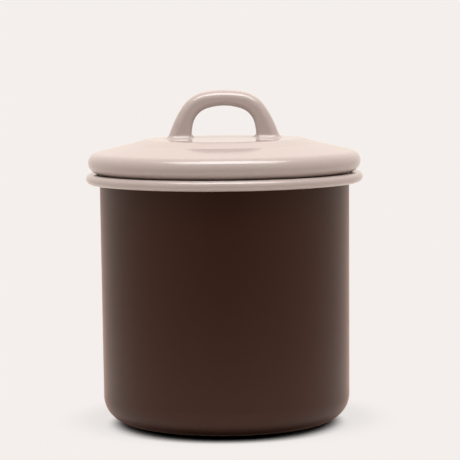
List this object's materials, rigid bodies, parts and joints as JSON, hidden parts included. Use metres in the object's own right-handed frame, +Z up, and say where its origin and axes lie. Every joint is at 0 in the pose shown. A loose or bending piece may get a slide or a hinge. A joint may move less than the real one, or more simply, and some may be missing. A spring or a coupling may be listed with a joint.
{
  "type": "enamel jar",
  "caption": "Round enamelled steel storage jar with a rolled rim and a domed lift-off lid that carries a pressed loop handle.",
  "frame": {"origin": "centre of the base, on the surface that the jar stands on", "axes": "+Z up along the jar's axis, X along the loop of the lid's handle, -Y towards the viewer of the picture"},
  "size_m": [0.1332, 0.1332, 0.1595],
  "materials": {
    "brown_enamel": "satin vitreous enamel on steel, dark brown",
    "light_enamel": "gloss vitreous enamel on steel, pale pinkish beige",
    "lining_enamel": "gloss vitreous enamel coat, pale pinkish beige"
  },
  "bodies": {
    "jar": {"jar_body": "brown_enamel", "inner_lining": "lining_enamel", "rolled_rim": "light_enamel"},
    "lid": {"lid_shell": "light_enamel", "lid_collar": "light_enamel", "lid_handle": "light_enamel"}
  },
  "joints": [
    {"name": "lid_lift", "type": "slide", "parent": "jar", "child": "lid", "axis": [0, 0, 1], "range_m": [0, 0.15]}
  ]
}
